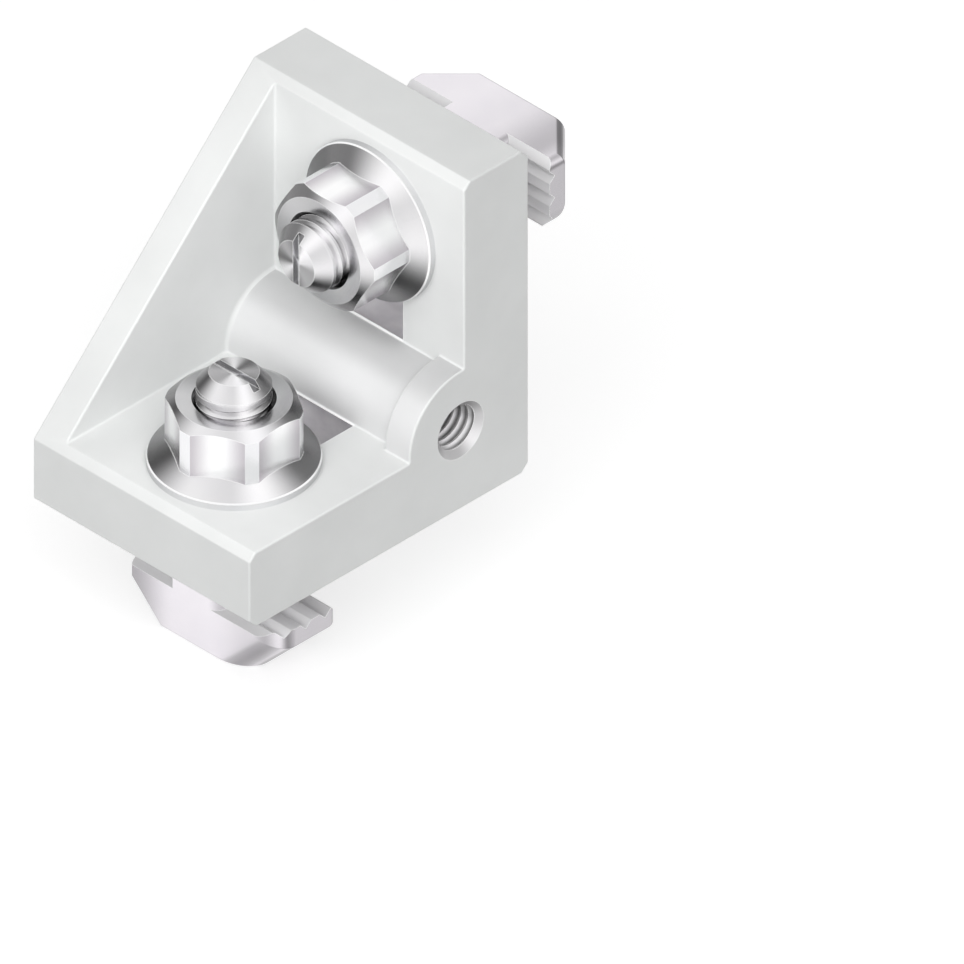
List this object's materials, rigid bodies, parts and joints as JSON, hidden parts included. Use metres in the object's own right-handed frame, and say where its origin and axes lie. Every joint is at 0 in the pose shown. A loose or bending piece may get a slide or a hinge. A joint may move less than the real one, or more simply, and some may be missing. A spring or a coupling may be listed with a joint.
{
  "type": "corner bracket",
  "caption": "Right-angle die-cast corner bracket for slotted aluminium profiles, gusseted on one side, with hammer-head T-bolts and flange nuts through T-shaped slots.",
  "frame": {"origin": "the point on the bolts' centre plane where the base face and the back face would meet", "axes": "base face down (-Z), back face towards +Y, the lower leg runs along -Y and the upper leg along +Z; the gusset wall is on the -X side and the open side faces +X"},
  "size_m": [0.031, 0.0521, 0.0521],
  "materials": {
    "cast_aluminium": "satin, die-cast and lightly blasted",
    "zinc_plated_bolt": "bright zinc plating",
    "zinc_plated_nut": "bright zinc plating"
  },
  "bodies": {
    "bracket": {"bracket": "cast_aluminium"},
    "lower_t_bolt": {"lower_t_bolt": "zinc_plated_bolt"},
    "lower_nut": {"lower_flange_nut": "zinc_plated_nut"},
    "upper_t_bolt": {"upper_t_bolt": "zinc_plated_bolt"},
    "upper_nut": {"upper_flange_nut": "zinc_plated_nut"}
  },
  "joints": [
    {"name": "lower_t_bolt_quarter_turn", "type": "hinge", "parent": "bracket", "child": "lower_t_bolt", "pos_m": [0, -0.0292, 0], "axis": [0, 0, 1], "range_deg": [0, 90]},
    {"name": "lower_nut_turn", "type": "hinge", "parent": "lower_t_bolt", "child": "lower_nut", "pos_m": [0, -0.0292, 0.00925], "axis": [0, 0, 1], "range_deg": [0, 900]},
    {"name": "upper_t_bolt_quarter_turn", "type": "hinge", "parent": "bracket", "child": "upper_t_bolt", "pos_m": [0, 0, 0.0292], "axis": [0, -1, 0], "range_deg": [0, 90]},
    {"name": "upper_nut_turn", "type": "hinge", "parent": "upper_t_bolt", "child": "upper_nut", "pos_m": [0, -0.00925, 0.0292], "axis": [0, -1, 0], "range_deg": [0, 900]}
  ]
}
